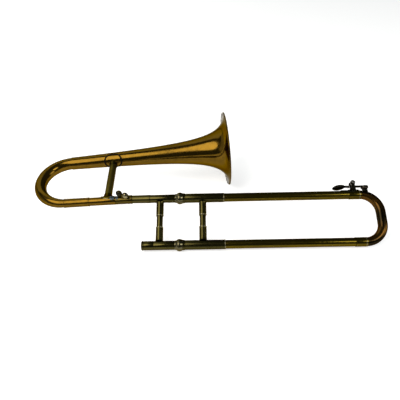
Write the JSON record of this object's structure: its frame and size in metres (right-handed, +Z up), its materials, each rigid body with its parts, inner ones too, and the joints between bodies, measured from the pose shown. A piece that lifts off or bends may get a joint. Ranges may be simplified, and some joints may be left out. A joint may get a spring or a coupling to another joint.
{
  "type": "soprano trombone",
  "caption": "Small slide trombone with a slim flared bell turned aside from the slide, braced parallel slide legs with cork barrels, a wing-screw bell joint and a sprung water key.",
  "frame": {"origin": "middle of the instrument's box at the level of the surface that it lies on", "axes": "+X along the slide towards the end bow, +Y from the slide towards the bell, +Z up"},
  "size_m": [0.5602, 0.2526, 0.1267],
  "materials": {
    "bright_brass": "aged polish",
    "dull_brass": "tarnished",
    "steel": "worn",
    "cork": "raw cork"
  },
  "bodies": {
    "inner_slide": {"bell_socket": "bright_brass", "socket_shank": "dull_brass", "upper_inner_tube": "dull_brass", "lower_inner_tube": "dull_brass", "leadpipe": "dull_brass", "upper_grip_sleeve": "dull_brass", "lower_grip_sleeve": "dull_brass", "mouthpiece_receiver": "bright_brass", "upper_cork_barrel": "bright_brass", "lower_cork_barrel": "bright_brass", "upper_cork": "cork", "lower_cork": "cork", "inner_brace_rod": "dull_brass", "inner_brace_upper_foot": "dull_brass", "inner_brace_lower_foot": "dull_brass"},
    "bell_section": {"bell_flare": "bright_brass", "bell_rim_wire": "bright_brass", "bell_bow": "bright_brass", "neck_ferrule": "bright_brass", "neck_pipe": "bright_brass", "neck_tenon": "dull_brass", "bell_brace_rod": "dull_brass", "bell_brace_bell_foot": "bright_brass", "bell_brace_neck_foot": "bright_brass"},
    "outer_slide": {"upper_outer_tube": "dull_brass", "lower_outer_tube": "dull_brass", "upper_hand_sleeve": "dull_brass", "lower_hand_sleeve": "dull_brass", "upper_end_collar": "bright_brass", "lower_end_collar": "bright_brass", "outer_brace_rod": "dull_brass", "outer_brace_upper_foot": "dull_brass", "outer_brace_lower_foot": "dull_brass", "end_bow": "dull_brass", "upper_bow_ferrule": "dull_brass", "lower_bow_ferrule": "dull_brass", "water_key_nipple": "bright_brass", "water_key_saddle": "bright_brass", "water_key_pivot_screw": "steel", "water_key_spring": "steel"},
    "water_key": {"water_key_lever": "bright_brass", "water_key_cork": "cork"},
    "lock_screw": {"lock_wing_screw": "bright_brass"}
  },
  "joints": [
    {"name": "slide_travel", "type": "slide", "parent": "inner_slide", "child": "outer_slide", "axis": [1, 0, 0], "range_m": [0, 0.225]},
    {"name": "bell_turn", "type": "hinge", "parent": "inner_slide", "child": "bell_section", "pos_m": [-0.1136, -0.05038, 0.04664], "axis": [0.9992, 0.0358, 0.02], "range_deg": [-90, 90]},
    {"name": "lock_screw_turn", "type": "hinge", "parent": "inner_slide", "child": "lock_screw", "pos_m": [-0.12759, -0.05088, 0.04636], "axis": [-0.014, -0.1604, 0.987], "range_deg": [0, 180]},
    {"name": "water_key_press", "type": "hinge", "parent": "outer_slide", "child": "water_key", "pos_m": [0.2353, -0.03354, 0.05606], "axis": [0, -0.488, 0.8728], "range_deg": [0, 6], "stiffness_Nm_per_rad": 0.05, "springref_deg": -28.65, "deforming": ["water_key_spring"]}
  ]
}
